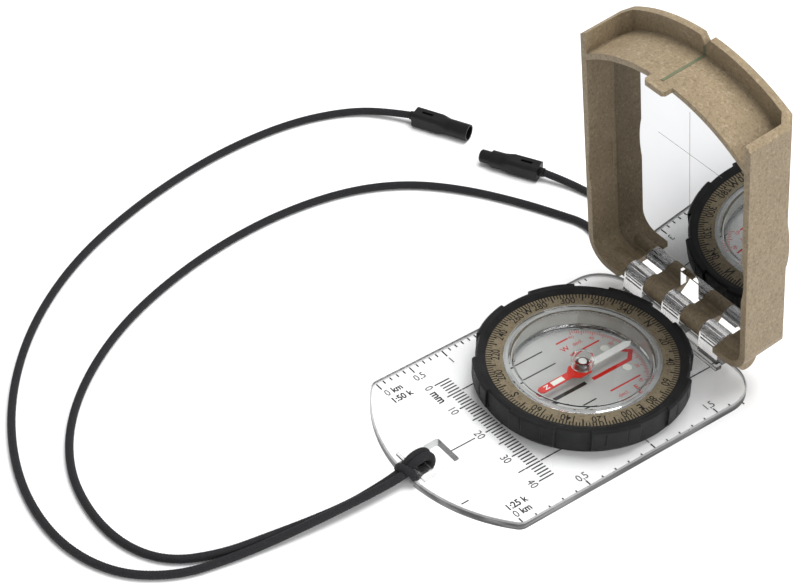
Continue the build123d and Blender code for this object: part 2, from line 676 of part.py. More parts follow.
def lanyard_hitch():
    """The doubled cord round the plate's front bridge, and the band that holds the strands."""
    outer = [
        (HITCH_FRONT_Y, 0.6), (-55.0, 0.05), (-47.0, 0.05), (-46.1, 0.9), (-45.9, 3.2), (-46.4, 4.9),
        (-48.0, 6.1), (-50.2, 6.5), (-52.6, 5.9), (-54.6, 4.9), (HITCH_FRONT_Y, 3.85),
    ]
    inner = [
        (-52.4, 1.45), (-48.1, 1.45), (-48.0, 3.5), (-48.8, 4.3), (-51.4, 4.3), (-53.0, 3.4), (-53.0, 1.9),
    ]
    knot = side_slice(outer, -HITCH_HALF_WIDTH, HITCH_HALF_WIDTH)
    knot -= side_slice(inner, -HITCH_HALF_WIDTH - 1, HITCH_HALF_WIDTH + 1)
    half = HITCH_BAND_HALF_WIDTH
    band = block(-half, half, HITCH_BAND_FRONT_Y, HITCH_BAND_REAR_Y, 0.05, HITCH_BAND_TOP)
    return knot + fillet(band.edges().filter_by(Axis.Y), HITCH_BAND_CORNER)


def along(start, end):
    """A frame at start on the connector's axis, with its X towards end and Z up."""
    way = Vector(end[0] - start[0], end[1] - start[1], 0)
    return Location(Plane(origin=(start[0], start[1], CONNECTOR_Z), x_dir=way, z_dir=(0, 0, 1)))


def connector_body(length):
    """Flat where the cord enters and round towards the coupling end, along +X."""
    section = RectangleRounded(CONNECTOR_WIDTH, CONNECTOR_HEIGHT, CONNECTOR_CORNER)
    taper_start = Plane.YZ.offset(CONNECTOR_FLAT_LENGTH) * section
    round_start = Plane.YZ.offset(CONNECTOR_TAPER_END) * Circle(CONNECTOR_ROUND_RADIUS)
    body = extrude(Plane.YZ * section, CONNECTOR_FLAT_LENGTH)
    body += loft([taper_start, round_start])
    body += extrude(round_start, length - CONNECTOR_TAPER_END)
    x0, x1 = CONNECTOR_WINDOW
    half = CONNECTOR_WINDOW_WIDTH / 2
    floor = CONNECTOR_HEIGHT / 2 - CONNECTOR_WINDOW_DEPTH
    return body - block(x0, x1, -half, half, floor, CONNECTOR_HEIGHT)


def span(start, end):
    return math.hypot(end[0] - start[0], end[1] - start[1])


def socket_connector():
    length = span(SOCKET_ENTRY, SOCKET_MOUTH)
    body = connector_body(length)
    body -= cross_bar(SOCKET_BORE, length - SOCKET_DEPTH, length + 1)
    return along(SOCKET_ENTRY, SOCKET_MOUTH) * body


def plug_connector():
    length = span(PLUG_ENTRY, PLUG_NOSE)
    body = connector_body(length - PLUG_STUB_LENGTH)
    stub = cross_bar(PLUG_STUB_RADIUS, length - PLUG_STUB_LENGTH, length)
    stub = chamfer(stub.edges().filter_by(GeomType.CIRCLE).sort_by(Axis.X)[-1:], 0.4)
    return along(PLUG_ENTRY, PLUG_NOSE) * (body + stub)


def cord_ferrules():
    """A short sleeve on each strand where it enters its connector."""
    sleeves = []
    for entry, far in ((SOCKET_ENTRY, SOCKET_MOUTH), (PLUG_ENTRY, PLUG_NOSE)):
        sleeves.append(along(entry, far) * cross_bar(FERRULE_RADIUS, -FERRULE_LENGTH, 0))
    return Compound(sleeves)


PARTS = {
    "base_plate": base_plate,
    "dial_snap_ring": dial_snap_ring,
    "hinge_pin": hinge_pin,
    "lid_shell": lid_shell,
    "mirror": mirror,
    "mirror_tape": mirror_tape,
    "sight_line": sight_line,
    "bezel_grip": bezel_grip,
    "graduation_ring": graduation_ring,
    "dial_collar": dial_collar,
    "capsule_base": capsule_base,
    "capsule_seal": capsule_seal,
    "capsule_cover": capsule_cover,
    "orienting_disc": orienting_disc,
    "luminous_dots": luminous_dots,
    "pivot_pin": pivot_pin,
    "needle_blade": needle_blade,
    "needle_hub": needle_hub,
    "jewel_bearing": jewel_bearing,
    "hub_cap": hub_cap,
    "needle_luminous_bar": needle_luminous_bar,
    "lanyard_hitch": lanyard_hitch,
    "socket_connector": socket_connector,
    "plug_connector": plug_connector,
    "cord_ferrules": cord_ferrules,
    "lanyard_outer": lambda: cord_tube("lanyard_outer", OUTER_ROUTE),
    "lanyard_inner": lambda: cord_tube("lanyard_inner", INNER_ROUTE),
}

os.makedirs("parts", exist_ok=True)
for node, make in PARTS.items():
    export_step(make(), f"parts/{node}.step")
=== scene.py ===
import json
import math

import bmesh
import bpy
from mathutils import Matrix, Vector


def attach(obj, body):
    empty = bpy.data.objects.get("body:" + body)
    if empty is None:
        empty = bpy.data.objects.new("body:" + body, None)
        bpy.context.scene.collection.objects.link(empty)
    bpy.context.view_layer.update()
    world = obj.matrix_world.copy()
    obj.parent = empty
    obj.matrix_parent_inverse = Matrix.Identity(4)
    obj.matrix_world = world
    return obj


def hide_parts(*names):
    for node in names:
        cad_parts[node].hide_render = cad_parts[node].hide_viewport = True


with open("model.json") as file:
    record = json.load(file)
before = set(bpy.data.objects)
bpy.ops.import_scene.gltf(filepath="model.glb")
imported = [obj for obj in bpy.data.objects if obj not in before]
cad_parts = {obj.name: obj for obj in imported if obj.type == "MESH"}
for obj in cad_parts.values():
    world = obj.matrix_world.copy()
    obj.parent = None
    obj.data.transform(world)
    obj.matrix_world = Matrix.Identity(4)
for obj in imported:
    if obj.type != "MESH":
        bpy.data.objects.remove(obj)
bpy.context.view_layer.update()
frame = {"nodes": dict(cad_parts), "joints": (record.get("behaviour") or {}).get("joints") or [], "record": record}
nodes = frame["nodes"]

MM = 0.001

# ------------------------------------------------------------------ camera

CAMERA_PLACE = Vector((0.28738, -0.26850, 0.37188))
CAMERA_AIM = Vector((-0.60381, 0.44866, -0.65888))
CAMERA_LENS_MM = 99.4
CAMERA_SENSOR_MM = 36.0
CAMERA_NEAR = 0.01
CAMERA_FAR = 20.0

lens = bpy.data.cameras.new("camera")
lens.lens = CAMERA_LENS_MM
lens.sensor_width = CAMERA_SENSOR_MM
lens.clip_start = CAMERA_NEAR
lens.clip_end = CAMERA_FAR
camera = bpy.data.objects.new("camera", lens)
camera.location = CAMERA_PLACE
camera.rotation_mode = "QUATERNION"
camera.rotation_quaternion = CAMERA_AIM.to_track_quat("-Z", "Y")
bpy.context.scene.collection.objects.link(camera)
bpy.context.scene.camera = camera

# ------------------------------------------------------------------ lanyard routes, in metres

# The strands lie on the floor and rise at one end to the connectors and at the other to the hitch.
CORD_DIAMETER = 0.0021
OUTER_LENGTH = 0.3055
INNER_LENGTH = 0.3563
CONNECTOR_Z = 0.0024
REST_Z = CORD_DIAMETER / 2

OUTER_ROUTE = [
    (-0.11021, 0.0307, CONNECTOR_Z),
    (-0.1182, 0.0256, 0.0015),
    (-0.1245, 0.0170, REST_Z),
    (-0.1286, 0.0036, REST_Z),
    (-0.1295, -0.0130, REST_Z),
    (-0.1277, -0.0310, REST_Z),
    (-0.1225, -0.0525, REST_Z),
    (-0.1136, -0.0748, REST_Z),
    (-0.1003, -0.0944, REST_Z),
    (-0.0843, -0.1097, REST_Z),
    (-0.0665, -0.1210, REST_Z),
    (-0.0475, -0.1278, REST_Z),
    (-0.0290, -0.1289, REST_Z),
    (-0.0141, -0.1234, REST_Z),
    (-0.0054, -0.1124, REST_Z),
    (-0.0027, -0.1005, 0.0011),
    (-0.00095, -0.0895, 0.0016),
    (0.0003, -0.0790, 0.00235),
    (0.0010, -0.0690, 0.00272),
    (0.00115, -0.0615, 0.00268),
    (0.0011, -0.0566, 0.00275),
    (0.0011, -0.0548, 0.0031),
]

INNER_ROUTE = [
    (-0.06772, 0.04405, CONNECTOR_Z),
    (-0.0619, 0.0473, 0.0015),
    (-0.0543, 0.0495, REST_Z),
    (-0.0462, 0.0522, REST_Z),
    (-0.0382, 0.0556, REST_Z),
    (-0.0309, 0.0516, REST_Z),
    (-0.0306, 0.0432, REST_Z),
    (-0.0378, 0.0384, REST_Z),
    (-0.0454, 0.0405, REST_Z),
    (-0.0533, 0.0368, REST_Z),
    (-0.0630, 0.0319, REST_Z),
    (-0.0754, 0.0241, REST_Z),
    (-0.0863, 0.0140, REST_Z),
    (-0.0933, 0.0015, REST_Z),
    (-0.0967, -0.0135, REST_Z),
    (-0.0972, -0.0310, REST_Z),
    (-0.0941, -0.0520, REST_Z),
    (-0.0869, -0.0740, REST_Z),
    (-0.0768, -0.0915, REST_Z),
    (-0.0639, -0.1058, REST_Z),
    (-0.0493, -0.1150, REST_Z),
    (-0.0340, -0.1185, REST_Z),
    (-0.0202, -0.1175, REST_Z),
    (-0.0102, -0.1118, REST_Z),
    (-0.0051, -0.1010, REST_Z),
    (-0.0032, -0.0900, REST_Z),
    (-0.00145, -0.0790, REST_Z),
    (-0.00045, -0.0690, REST_Z),
    (-0.0006, -0.0615, 0.00133),
    (-0.0008, -0.0566, 0.0017),
    (-0.0008, -0.0548, 0.0021),
]

# One cord's way through the hitch: over the bridge, down the slot, back under the bridge and up
# into the bight that lies across both strands. The other strand goes the same way, mirrored.
HITCH_ROUTE = [
    (0.00100, -0.0558, 0.00290),
    (0.00095, -0.0544, 0.00285),
    (0.00087, -0.0532, 0.0033),
    (0.00087, -0.0520, 0.0045),
    (0.00087, -0.0498, 0.00535),
    (0.00087, -0.0476, 0.0051),
    (0.00087, -0.0465, 0.0038),
    (0.00087, -0.0464, 0.0020),
    (0.00095, -0.0472, 0.0009),
    (0.0013, -0.0490, 0.0007),
    (0.0017, -0.0512, 0.0007),
    (0.0021, -0.0526, 0.0010),
    (0.0025, -0.0534, 0.0022),
    (0.0021, -0.0537, 0.0035),
]
HITCH_BIGHT = (0.0, -0.0543, 0.0042)
HITCH_LEFT_END = [(-0.00086, -0.0544, 0.0022), (-0.0008, -0.0558, 0.0018)]
BIGHT_FIRST = 11
BIGHT_SLANT = 0.22
BIGHT_TILT = 0.12
BIGHT_SHIFT = 0.00045
BRIDGE_SPAN_Y = (-0.0521, -0.0481)
BRIDGE_RELIEF_Z = 0.00145
BRIDGE_TOP_Z = 0.003
FLOOR_CLEARANCE = 0.00005

# ------------------------------------------------------------------ mesh helpers

ROUTE_DETAIL = 24
BRAID_STRANDS = 8
BRAID_PITCH = 0.0062
BRAID_RELIEF = 0.13
STRAND_SHARP = 0.85
STRAND_BROAD = 0.4
AROUND = 32
RING_STEP = 0.00023
PRINT_THICKNESS = 0.03
WELD_DISTANCE = 0.0005
LETTER_DETAIL = 4


def new_piece(name, bm, body, material, smooth=True):
    """Make an object of a bmesh, in the part's own frame, that rides on a body."""
    mesh = bpy.data.meshes.new(name)
    bmesh.ops.recalc_face_normals(bm, faces=bm.faces)
    bm.to_mesh(mesh)
    bm.free()
    for face in mesh.polygons:
        face.use_smooth = smooth
    mesh.materials.append(material)
    piece = bpy.data.objects.new(name, mesh)
    bpy.context.scene.collection.objects.link(piece)
    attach(piece, body)
    return piece


def line_of(route):
    """The points of a smooth NURBS line whose control points are the route's."""
    data = bpy.data.curves.new("route", "CURVE")
    data.dimensions = "3D"
    data.resolution_u = ROUTE_DETAIL
    spline = data.splines.new("NURBS")
    spline.points.add(len(route) - 1)
    for point, place in zip(spline.points, route):
        point.co = (*place, 1.0)
    spline.order_u = 3
    spline.use_endpoint_u = True
    holder = bpy.data.objects.new("route", data)
    mesh = bpy.data.meshes.new_from_object(holder)
    points = [v.co.copy() for v in mesh.vertices]
    bpy.data.objects.remove(holder)
    bpy.data.meshes.remove(mesh)
    bpy.data.curves.remove(data)
    return points


def evenly(points, step):
    """Points along a line at an even step."""
    spaced = [points[0]]
    left = step
    for a, b in zip(points, points[1:]):
        length = (b - a).length
        gone = 0.0
        while length - gone >= left:
            gone += left
            spaced.append(a.lerp(b, gone / length))
            left = step
        left -= length - gone
    if (spaced[-1] - points[-1]).length > step / 4:
        spaced.append(points[-1])
    return spaced


def braid_height(angle, along):
    """How high the braid stands, from 0 in a gap to 1 on a strand's crown."""
    twist = 2 * math.pi * along / BRAID_PITCH
    right = math.cos(BRAID_STRANDS * (angle + twist) / 2)
    left = math.cos(BRAID_STRANDS * (angle - twist) / 2)
    if right * left > 0:
        return abs(right) ** STRAND_SHARP * abs(left) ** STRAND_BROAD
    return abs(right) ** STRAND_BROAD * abs(left) ** STRAND_SHARP


def braided_cord(points, radius, shape=None):
    """A closed braided tube round a line. shape moves each point of its surface."""
    bm = bmesh.new()
    spaced = evenly(points, RING_STEP)
    side = Vector((0, 0, 1))
    rings = []
    for i, centre in enumerate(spaced):
        ahead = spaced[min(i + 1, len(spaced) - 1)] - spaced[max(i - 1, 0)]
        ahead.normalize()
        side = (side - ahead * side.dot(ahead)).normalized()
        across = ahead.cross(side)
        ring = []
        for k in range(AROUND):
            angle = 2 * math.pi * k / AROUND
            height = 1 - BRAID_RELIEF * (1 - braid_height(angle, i * RING_STEP))
            place = centre + (side * math.cos(angle) + across * math.sin(angle)) * radius * height
            ring.append(bm.verts.new(shape(place) if shape else place))
        rings.append(ring)
    for a, b in zip(rings, rings[1:]):
        for k in range(AROUND):
            n = (k + 1) % AROUND
            bm.faces.new((a[k], a[n], b[n], b[k]))
    bm.faces.new(rings[0])
    bm.faces.new(rings[-1])
    return bm


BAR_FACES = ((0, 2, 3, 1), (4, 5, 7, 6), (0, 1, 5, 4), (2, 6, 7, 3), (0, 4, 6, 2), (1, 3, 7, 5))


def mm_bar(bm, x0, x1, y0, y1, z, thickness=PRINT_THICKNESS, place=Matrix()):
    """Add a thin closed bar, given in millimetres, and move it to its place."""
    corners = []
    for high in (z * MM, (z + thickness) * MM):
        for y in (y0 * MM, y1 * MM):
            for x in (x0 * MM, x1 * MM):
                corners.append(bm.verts.new(place @ Vector((x, y, high))))
    for face in BAR_FACES:
        bm.faces.new([corners[i] for i in face])


def text_mesh(text, weight=0.0, thickness=0.0):
    """Raised lettering with its middle at the origin, and its own size."""
    data = bpy.data.curves.new("lettering", "FONT")
    data.body = text
    data.align_x = "CENTER"
    data.align_y = "CENTER"
    data.resolution_u = LETTER_DETAIL
    data.offset = weight
    data.extrude = thickness
    holder = bpy.data.objects.new("lettering", data)
    mesh = bpy.data.meshes.new_from_object(holder)
    bpy.data.objects.remove(holder)
    bpy.data.curves.remove(data)
    return mesh


def figure_reach():
    """The foot and the top of the font's figures at size 1."""
    mesh = text_mesh("0")
    heights = [v.co.y for v in mesh.vertices]
    bpy.data.meshes.remove(mesh)
    return min(heights), max(heights)


FIGURE_FOOT, FIGURE_TOP = figure_reach()


def letter(bm, text, cap, place, weight=0.0, width=1.0):
    """Add lettering whose figures are cap millimetres high, centred on the origin of its place."""
    size = cap * MM / (FIGURE_TOP - FIGURE_FOOT)
    mesh = text_mesh(text, weight, PRINT_THICKNESS * MM / size / 2)
    xs = [v.co.x for v in mesh.vertices]
    middle = Vector(((min(xs) + max(xs)) / 2, (FIGURE_TOP + FIGURE_FOOT) / 2, 0))
    scale = Matrix.Diagonal((size * width, size, size, 1))
    mesh.transform(place @ scale @ Matrix.Translation(-middle))
    bm.from_mesh(mesh)
    bpy.data.meshes.remove(mesh)


def welded(bm):
    """Join the lettering's faces and sides, which share their corners."""
    bmesh.ops.remove_doubles(bm, verts=bm.verts, dist=WELD_DISTANCE * MM)
    return bm


def at(x, y, z, turn=0.0):
    """A place given in millimetres, turned about Z by degrees."""
    turned = Matrix.Rotation(math.radians(turn), 4, "Z")
    return Matrix.Translation((x * MM, y * MM, z * MM)) @ turned


# ------------------------------------------------------------------ materials

NOISE_LOW = 0.3
NOISE_HIGH = 0.7
NOISE_ROUGHNESS = 0.55
EDGE_START = 0.02
EDGE_FULL = 0.25
MOULDED_EDGE = 0.0002
ACRYLIC_IOR = 1.49
SAPPHIRE_IOR = 1.77
CLEAR_TINT = (0.97, 0.98, 0.98)
SCRATCHES = (0.0009, 2.0, (1, 0.08, 1))
SMUDGES = (0.012, 4.0)
SMUDGE_ROUGHNESS = 0.02

# Where a noise turns into flecks, as (position, cover) stops.
DARK_FLECKS = ((0.38, 1.0), (0.47, 0.0))
SMALL_FLECKS = ((0.36, 1.0), (0.44, 0.0))
PALE_FLECKS = ((0.58, 0.0), (0.66, 1.0))

# The clear plate: its rim is satin and painted grey with dark and pale streaks, a painted shade and painted
# highlights for what its glass edge reflects; its hinge is slightly hazy with a weaker share of the same painted
# streaks, and its slot's walls are frosted.
PLATE_COLOUR = (0.988, 0.99, 0.988)
PLATE_TINT = (0.975, 0.977, 0.975)
RIM_PAINTED_SHADE = 0.035
RIM_PAINTED_HIGHLIGHT = 0.21
RIM_COVER = 0.84
HINGE_HAZE_AND_PAINTED_SHADE = 0.22
SATIN_ROUGHNESS = 0.42
FROST_COLOUR = (0.86, 0.87, 0.87)
SLOT_FROST = 0.12
SLOT_SIDE_FROST = 0.5

# Where the clear plate's rim, hinge and lanyard slot lie, in metres.
RIM_ARC_CENTRE = 0.0117
RIM_ARC_RADIUS = 0.0413
RIM_SIDE = 0.0282
PLATE_TOP = 0.00265
HINGE_FRONT = 0.0275
SLOT_REAR = -0.0405

# How far beyond the pivot, in millimetres, the needle turns white.
NEEDLE_WHITE_FROM = 1.9


class Surface:
    """A material with one Principled shader, built up in steps."""

    def __init__(self, name, **sockets):
        self.material = bpy.data.materials.new(name)
        self.material.use_nodes = True
        self.tree = self.material.node_tree
        self.shader = self.tree.nodes["Principled BSDF"]
        self.output = self.tree.nodes["Material Output"]
        for socket, value in sockets.items():
            title = socket.replace("_", " ").title().replace("Ior", "IOR")
            self.shader.inputs[title].default_value = value
        self.place = self.add("ShaderNodeTexCoord").outputs["Object"]

    def add(self, kind, **settings):
        made = self.tree.nodes.new(kind)
        for name, value in settings.items():
            setattr(made, name, value)
        return made

    def join(self, source, target):
        self.tree.links.new(source, target)

    def noise(self, size, detail=3.0, stretch=(1, 1, 1)):
        """Noise whose features are about size metres across."""
        scaled = self.add("ShaderNodeMapping")
        scaled.inputs["Scale"].default_value = stretch
        self.join(self.place, scaled.inputs["Vector"])
        made = self.add("ShaderNodeTexNoise")
        made.inputs["Scale"].default_value = 1 / size
        made.inputs["Detail"].default_value = detail
        made.inputs["Roughness"].default_value = NOISE_ROUGHNESS
        self.join(scaled.outputs["Vector"], made.inputs["Vector"])
        return made.outputs["Fac"]

    def ramp(self, factor, *stops):
        """Colours or greys along a factor, as (position, value) stops."""
        made = self.add("ShaderNodeValToRGB")
        elements = made.color_ramp.elements
        while len(elements) < len(stops):
            elements.new(0.5)
        for element, (position, value) in zip(elements, stops):
            element.position = position
            element.color = (value,) * 3 + (1,) if isinstance(value, (int, float)) else (*value, 1)
        self.join(factor, made.inputs["Fac"])
        return made.outputs["Color"]

    def between(self, factor, a, b):
        """From a to b over the middle of a noise's range."""
        return self.ramp(factor, (NOISE_LOW, a), (NOISE_HIGH, b))

    def mix(self, factor, a, b):
        """Blend two colours. Each may be a colour or a socket."""
        made = self.add("ShaderNodeMix", data_type="RGBA")
        factor_in, a_in, b_in = made.inputs[0], made.inputs[6], made.inputs[7]
        for value, target in ((factor, factor_in), (a, a_in), (b, b_in)):
            if isinstance(value, bpy.types.NodeSocket):
                self.join(value, target)
            elif isinstance(value, (int, float)):
                target.default_value = value
            else:
                target.default_value = (*value, 1)
        return made.outputs[2]

    def maths(self, operation, a, b=0.0, c=0.0):
        """One Math node. Each input may be a number or a socket."""
        made = self.add("ShaderNodeMath", operation=operation)
        for value, target in zip((a, b, c), made.inputs):
            if isinstance(value, bpy.types.NodeSocket):
                self.join(value, target)
            else:
                target.default_value = value
        return made.outputs[0]

    def rounded(self, radius):
        """Normals as if the sharp edges were rounded."""
        made = self.add("ShaderNodeBevel", samples=4)
        made.inputs["Radius"].default_value = radius
        return made.outputs["Normal"]

    def edges(self, radius):
        """1 on sharp edges and 0 elsewhere, about radius wide."""
        bevel = self.rounded(radius)
        plain = self.add("ShaderNodeNewGeometry").outputs["Normal"]
        dot = self.add("ShaderNodeVectorMath", operation="DOT_PRODUCT")
        self.join(bevel, dot.inputs[0])
        self.join(plain, dot.inputs[1])
        bend = self.maths("SUBTRACT", 1.0, dot.outputs["Value"])
        return self.ramp(bend, (EDGE_START, 0.0), (EDGE_FULL, 1.0))

    def bump(self, height, depth, strength, normal=None):
        """Normals of a relief of a depth in metres, on top of other normals if they are given."""
        made = self.add("ShaderNodeBump")
        made.inputs["Distance"].default_value = depth
        made.inputs["Strength"].default_value = strength
        self.join(height, made.inputs["Height"])
        if normal is not None:
            self.join(normal, made.inputs["Normal"])
        return made.outputs["Normal"]

    def colour(self, socket):
        self.join(socket, self.shader.inputs["Base Color"])

    def roughness(self, factor, low, high):
        """Roughness that varies between two values with a factor."""
        self.join(self.between(factor, low, high), self.shader.inputs["Roughness"])

    def normal(self, socket):
        self.join(socket, self.shader.inputs["Normal"])

    def lets_lamps_through(self, tint):
        """Shadow and soft bounce light pass the glass without being bent."""
        clear = self.add("ShaderNodeBsdfTransparent")
        clear.inputs["Color"].default_value = (*tint, 1)
        path = self.add("ShaderNodeLightPath").outputs
        through = self.maths("MAXIMUM", path["Is Shadow Ray"], path["Is Diffuse Ray"])
        mixer = self.add("ShaderNodeMixShader")
        self.join(through, mixer.inputs[0])
        self.join(self.shader.outputs[0], mixer.inputs[1])
        self.join(clear.outputs[0], mixer.inputs[2])
        self.join(mixer.outputs[0], self.output.inputs["Surface"])


def clear_plastic(name, colour, scratch, ior=ACRYLIC_IOR):
    """Polished clear plastic with faint smudges and fine scratches."""
    s = Surface(name, transmission_weight=1.0, ior=ior, base_color=(*colour, 1))
    s.roughness(s.noise(*SMUDGES), 0.0, SMUDGE_ROUGHNESS)
    s.normal(s.bump(s.noise(*SCRATCHES), scratch, 0.3))
    s.lets_lamps_through(CLEAR_TINT)
    return s.material


def plate_acrylic():
    """Clear acrylic, polished above and below, with a satin rim painted with grey streaks of painted shade and
    painted highlights, and frosted slot walls.
    """
    s = Surface("clear_acrylic", ior=ACRYLIC_IOR)
    place = s.add("ShaderNodeSeparateXYZ")
    s.join(s.place, place.inputs[0])
    x, y, z = place.outputs
    facing = s.add("ShaderNodeSeparateXYZ")
    s.join(s.add("ShaderNodeNewGeometry").outputs["Normal"], facing.inputs[0])
    steep = s.ramp(s.maths("ABSOLUTE", facing.outputs["Z"]), (0.6, 1.0), (0.9, 0.0))
    from_arc = s.maths("ADD", y, RIM_ARC_CENTRE)
    reach = s.maths("SQRT", s.maths("MULTIPLY_ADD", x, x, s.maths("MULTIPLY", from_arc, from_arc)))
    past_arc = s.maths("GREATER_THAN", reach, RIM_ARC_RADIUS)
    past_side = s.maths("GREATER_THAN", s.maths("ABSOLUTE", x), RIM_SIDE)
    outside = s.maths("MAXIMUM", past_arc, past_side)
    low = s.maths("LESS_THAN", z, PLATE_TOP)
    rim = s.maths("MULTIPLY", s.maths("MULTIPLY", outside, low), steep)
    high = s.maths("SUBTRACT", 1.0, low)
    hinge = s.maths("MULTIPLY", s.maths("GREATER_THAN", y, HINGE_FRONT), high)
    # This mask makes the rim and hinge satin, and also lays the painted streaks of shade and highlight on them.
    satin_and_painted_streaks = s.maths("MAXIMUM", rim, s.maths("MULTIPLY", hinge, HINGE_HAZE_AND_PAINTED_SHADE))
    sideways = s.maths("GREATER_THAN", s.maths("ABSOLUTE", facing.outputs["X"]), 0.5)
    inside = s.maths("SUBTRACT", 1.0, outside)
    in_slot = s.maths("MULTIPLY", s.maths("LESS_THAN", y, SLOT_REAR), inside)
    slot_walls = s.maths("MULTIPLY", in_slot, steep)
    frost = s.maths("MULTIPLY_ADD", sideways, SLOT_SIDE_FROST, SLOT_FROST)
    frosted = s.maths("MULTIPLY", slot_walls, frost)
    # Painted streaks: the dark grey is painted shade and painted reflection, the pale streaks are painted
    # highlights.
    painted_shade_streaks = s.ramp(s.noise(0.006, 2.0, (1, 0.3, 4)), (0.40, RIM_PAINTED_SHADE), (0.68, RIM_PAINTED_HIGHLIGHT))
    with_painted_shade = s.mix(satin_and_painted_streaks, PLATE_COLOUR, painted_shade_streaks)
    s.colour(s.mix(frosted, with_painted_shade, FROST_COLOUR))
    bare = s.maths("SUBTRACT", 1.0, s.maths("MULTIPLY", rim, RIM_COVER))
    s.join(s.maths("SUBTRACT", bare, frosted), s.shader.inputs["Transmission Weight"])
    smudge = s.between(s.noise(*SMUDGES), 0.0, SMUDGE_ROUGHNESS)
    rough = s.maths("MULTIPLY_ADD", satin_and_painted_streaks, SATIN_ROUGHNESS, smudge)
    s.join(rough, s.shader.inputs["Roughness"])
    s.normal(s.bump(s.noise(*SCRATCHES), 0.000004, 0.3))
    s.lets_lamps_through(PLATE_TINT)
    return s.material


def tan_composite():
    """Wood-fibre plastic: an olive-tan ground with dark and pale flecks, paler on worn edges."""
    s = Surface("tan_composite", specular_ior_level=0.3)
    mottle = s.noise(0.006, 3.0)
    ground = s.between(mottle, (0.232, 0.180, 0.114), (0.275, 0.216, 0.140))
    dark = s.ramp(s.noise(0.0007, 3.0, (1, 1, 0.6)), *DARK_FLECKS)
    flecked = s.mix(s.maths("MULTIPLY", dark, 0.34), ground, (0.105, 0.076, 0.046))
    small = s.ramp(s.noise(0.0004, 3.0), *SMALL_FLECKS)
    flecked = s.mix(s.maths("MULTIPLY", small, 0.32), flecked, (0.10, 0.072, 0.042))
    pale = s.ramp(s.noise(0.0008, 2.0, (0.7, 1, 1)), *PALE_FLECKS)
    flecked = s.mix(s.maths("MULTIPLY", pale, 0.36), flecked, (0.42, 0.345, 0.24))
    worn = s.edges(0.0004)
    s.colour(s.mix(s.maths("MULTIPLY", worn, 0.25), flecked, (0.50, 0.42, 0.31)))
    fine = s.noise(0.0006, 4.0)
    s.roughness(fine, 0.48, 0.66)
    s.normal(s.bump(fine, 0.00006, 0.5, s.rounded(0.00035)))
    return s.material


def dark_grip():
    """Soft black rubbery plastic, greyer where fingers rub its edges."""
    s = Surface("grip_black", specular_ior_level=0.22)
    ground = s.between(s.noise(0.004, 4.0), (0.0085, 0.0085, 0.009), (0.014, 0.014, 0.0145))
    worn = s.edges(0.0004)
    s.colour(s.mix(s.maths("MULTIPLY", worn, 0.5), ground, (0.05, 0.05, 0.052)))
    fine = s.noise(0.00035, 3.0)
    s.roughness(fine, 0.42, 0.6)
    s.normal(s.bump(fine, 0.00003, 0.5, s.rounded(0.0003)))
    return s.material


def dial_tan():
    """The degree ring's olive-tan plastic with small dark flecks."""
    s = Surface("tan_dial", specular_ior_level=0.3)
    ground = s.between(s.noise(0.005, 3.0), (0.150, 0.122, 0.078), (0.192, 0.158, 0.105))
    dark = s.ramp(s.noise(0.0006, 3.0), *DARK_FLECKS)
    s.colour(s.mix(s.maths("MULTIPLY", dark, 0.5), ground, (0.055, 0.040, 0.022)))
    fine = s.noise(0.0005, 3.0)
    s.roughness(fine, 0.45, 0.6)
    s.normal(s.bump(fine, 0.00003, 0.5, s.rounded(0.0002)))
    return s.material


def mirror_glass():
    """A silvered mirror with the faintest unevenness."""
    s = Surface("mirror", metallic=1.0)
    s.colour(s.between(s.noise(0.02, 3.0), (0.645, 0.65, 0.655), (0.675, 0.68, 0.685)))
    s.roughness(s.noise(0.006, 5.0), 0.0, 0.012)
    s.normal(s.bump(s.noise(0.0012, 2.0), 0.000001, 0.1))
    return s.material


def steel(name, colour, low, high, stretch=(1, 1, 1)):
    """Brushed steel of a roughness from low to high."""
    s = Surface(name, metallic=1.0)
    brushed = s.noise(0.0006, 3.0, stretch)
    lighter = tuple(min(1.0, 1.25 * c) for c in colour)
    s.colour(s.between(brushed, colour, lighter))
    s.roughness(brushed, low, high)
    s.normal(s.bump(brushed, 0.00001, 0.4, s.rounded(0.0001)))
    return s.material


def plastic(name, dark, light, low, high, grain=0.0005, depth=0.00002, shine=0.4):
    """Moulded plastic between two tones, paler on its edges, of a roughness from low to high."""
    s = Surface(name, specular_ior_level=shine)
    ground = s.between(s.noise(0.003, 4.0), dark, light)
    worn = s.edges(MOULDED_EDGE)
    paler = tuple(min(1.0, c * 1.25 + 0.02) for c in light)
    s.colour(s.mix(s.maths("MULTIPLY", worn, 0.4), ground, paler))
    fine = s.noise(grain, 3.0)
    s.roughness(fine, low, high)
    s.normal(s.bump(fine, depth, 0.5, s.rounded(MOULDED_EDGE)))
    return s.material


def braid():
    """Charcoal polyester yarn with fine fibres and a faint sheen."""
    s = Surface("lanyard_cord", specular_ior_level=0.2, sheen_weight=0.05, sheen_roughness=0.4)
    fibre = s.noise(0.00016, 3.0)
    patch = s.noise(0.0011, 3.0)
    ground = s.ramp(fibre, (0.3, (0.009, 0.009, 0.010)), (0.72, (0.030, 0.030, 0.032)))
    faded = s.ramp(patch, (0.55, 0.0), (0.75, 1.0))
    s.colour(s.mix(s.maths("MULTIPLY", faded, 0.35), ground, (0.045, 0.045, 0.048)))
    s.roughness(patch, 0.62, 0.85)
    s.normal(s.bump(fibre, 0.00005, 0.7))
    return s.material


